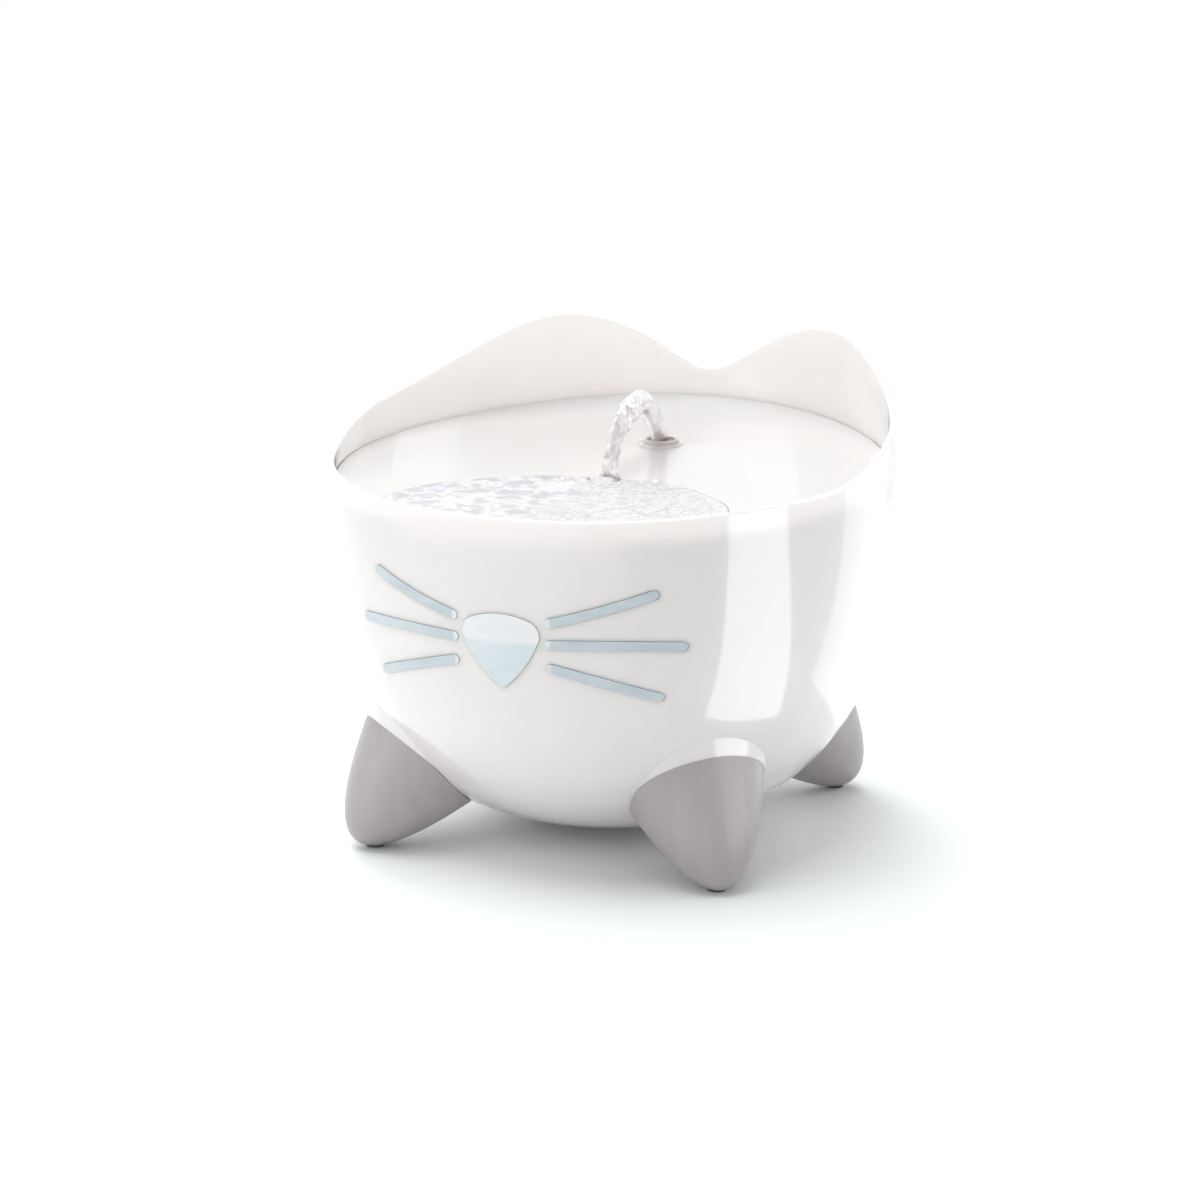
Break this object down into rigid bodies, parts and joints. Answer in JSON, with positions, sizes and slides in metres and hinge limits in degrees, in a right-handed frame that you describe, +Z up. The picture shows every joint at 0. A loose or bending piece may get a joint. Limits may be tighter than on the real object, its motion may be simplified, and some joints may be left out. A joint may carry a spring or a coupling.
{
  "type": "pet water fountain",
  "caption": "Round pet water fountain with an animal face, four feet, a lift-out drinking dish with a spout nozzle, and a pump with a filter inside.",
  "frame": {"origin": "on the floor under the bowl's upright axis", "axes": "+Z up, the face with the nose looks along -Y, +X on the right of someone facing it"},
  "size_m": [0.2404, 0.2404, 0.2032],
  "materials": {
    "bowl_plastic": "gloss",
    "dish_plastic": "gloss",
    "window_plastic": "clear, tinted",
    "window_rubber": "satin",
    "foot_plastic": "satin",
    "pad_rubber": "matte",
    "grommet_rubber": "matte",
    "screw_steel": "brushed",
    "spout_plastic": "gloss",
    "ring_silicone": "satin",
    "hose_silicone": "satin",
    "cup_silicone": "satin",
    "pump_plastic": "satin",
    "tray_plastic": "satin",
    "slider_plastic": "satin",
    "lamination_steel": "brushed",
    "coil_copper": "enamelled wire",
    "potting_epoxy": "satin",
    "board_laminate": "satin",
    "lamp_plastic": "clear",
    "magnet_ferrite": "satin",
    "impeller_plastic": "satin",
    "shaft_ceramic": "polished",
    "bush_rubber": "matte",
    "filter_plastic": "satin",
    "mesh_fabric": "fine mesh",
    "foam_fabric": "open foam",
    "carbon_bed": "granules",
    "resin_bed": "beads",
    "water": "clear, rippled"
  },
  "bodies": {
    "reservoir": {"reservoir_bowl": "bowl_plastic", "nose_window": "window_plastic", "whisker_window_left": "window_plastic", "whisker_window_right": "window_plastic", "nose_seal": "window_rubber", "whisker_seal_left": "window_rubber", "whisker_seal_right": "window_rubber", "foot_front_right": "foot_plastic", "foot_rear_right": "foot_plastic", "foot_rear_left": "foot_plastic", "foot_front_left": "foot_plastic", "foot_pads": "pad_rubber", "foot_screws": "screw_steel", "cord_grommet": "grommet_rubber"},
    "dish": {"drinking_dish": "dish_plastic", "spout_ring": "ring_silicone"},
    "nozzle": {"spout_nozzle": "spout_plastic"},
    "pump_unit": {"pump_tray": "tray_plastic", "suction_cups": "cup_silicone", "motor_housing": "pump_plastic", "motor_cover": "pump_plastic", "stator_core": "lamination_steel", "stator_coil": "coil_copper", "potting": "potting_epoxy", "lamp_board": "board_laminate", "lamp_lens": "lamp_plastic", "pump_cord_gland": "grommet_rubber", "impeller_cover": "pump_plastic", "pump_seal_ring": "bush_rubber", "pump_screws": "screw_steel", "intake_strainer": "pump_plastic", "impeller_shaft": "shaft_ceramic", "shaft_bush_front": "bush_rubber", "shaft_bush_rear": "bush_rubber", "riser_hose": "hose_silicone"},
    "impeller": {"impeller": "impeller_plastic", "rotor_magnet": "magnet_ferrite"},
    "flow_slider": {"flow_slider": "slider_plastic"},
    "filter": {"filter_frame": "filter_plastic", "filter_mesh": "mesh_fabric", "filter_foam": "foam_fabric", "filter_carbon": "carbon_bed", "filter_resin": "resin_bed"}
  },
  "joints": [
    {"name": "dish_lift", "type": "slide", "parent": "reservoir", "child": "dish", "axis": [0, 0, 1], "range_m": [0, 0.12]},
    {"name": "nozzle_turn", "type": "hinge", "parent": "dish", "child": "nozzle", "pos_m": [0, 0.058, 0.15], "axis": [0, 0, 1], "range_deg": [-30, 30]},
    {"name": "pump_lift", "type": "slide", "parent": "reservoir", "child": "pump_unit", "axis": [0, 0, 1], "range_m": [0, 0.036]},
    {"name": "filter_lift", "type": "slide", "parent": "pump_unit", "child": "filter", "axis": [0, 0, 1], "range_m": [0, 0.042]},
    {"name": "impeller_spin", "type": "hinge", "parent": "pump_unit", "child": "impeller", "pos_m": [0, 0.01, 0.0382], "axis": [0, 1, 0], "continuous": true},
    {"name": "flow_slide", "type": "slide", "parent": "pump_unit", "child": "flow_slider", "axis": [1, 0, 0], "range_m": [0, 0.008]}
  ],
  "couplings": [
    {"joint": "pump_lift", "follows": "dish_lift", "ratio": 0.3},
    {"joint": "filter_lift", "follows": "dish_lift", "ratio": 0.35}
  ]
}
